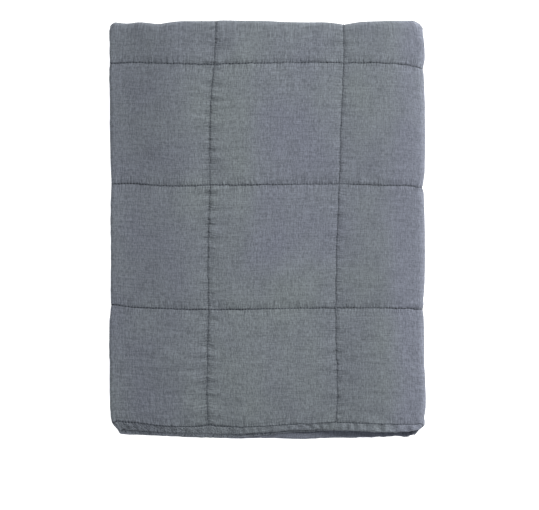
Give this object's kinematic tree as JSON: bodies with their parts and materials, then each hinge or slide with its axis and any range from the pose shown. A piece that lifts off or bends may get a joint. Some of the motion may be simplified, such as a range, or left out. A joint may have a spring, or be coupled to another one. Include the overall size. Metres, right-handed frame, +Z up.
{
  "type": "quilt, folded",
  "caption": "Plain bed throw quilt with a thin filling sewn through in oblong blocks, folded into a flat oblong pile with its hems at one end.",
  "frame": {"origin": "middle of the pile's footprint, on the surface that it lies on", "axes": "+Y along the pile's length, from the open end with the hems to the closed end; +Z up through the layers; +X towards the side with the book fold"},
  "size_m": [0.3352, 0.4416, 0.058],
  "materials": {
    "quilt": "matt grey-blue slubbed plain weave, stitched in matching thread"
  },
  "bodies": {
    "root": {"quilt": "quilt"}
  },
  "joints": []
}
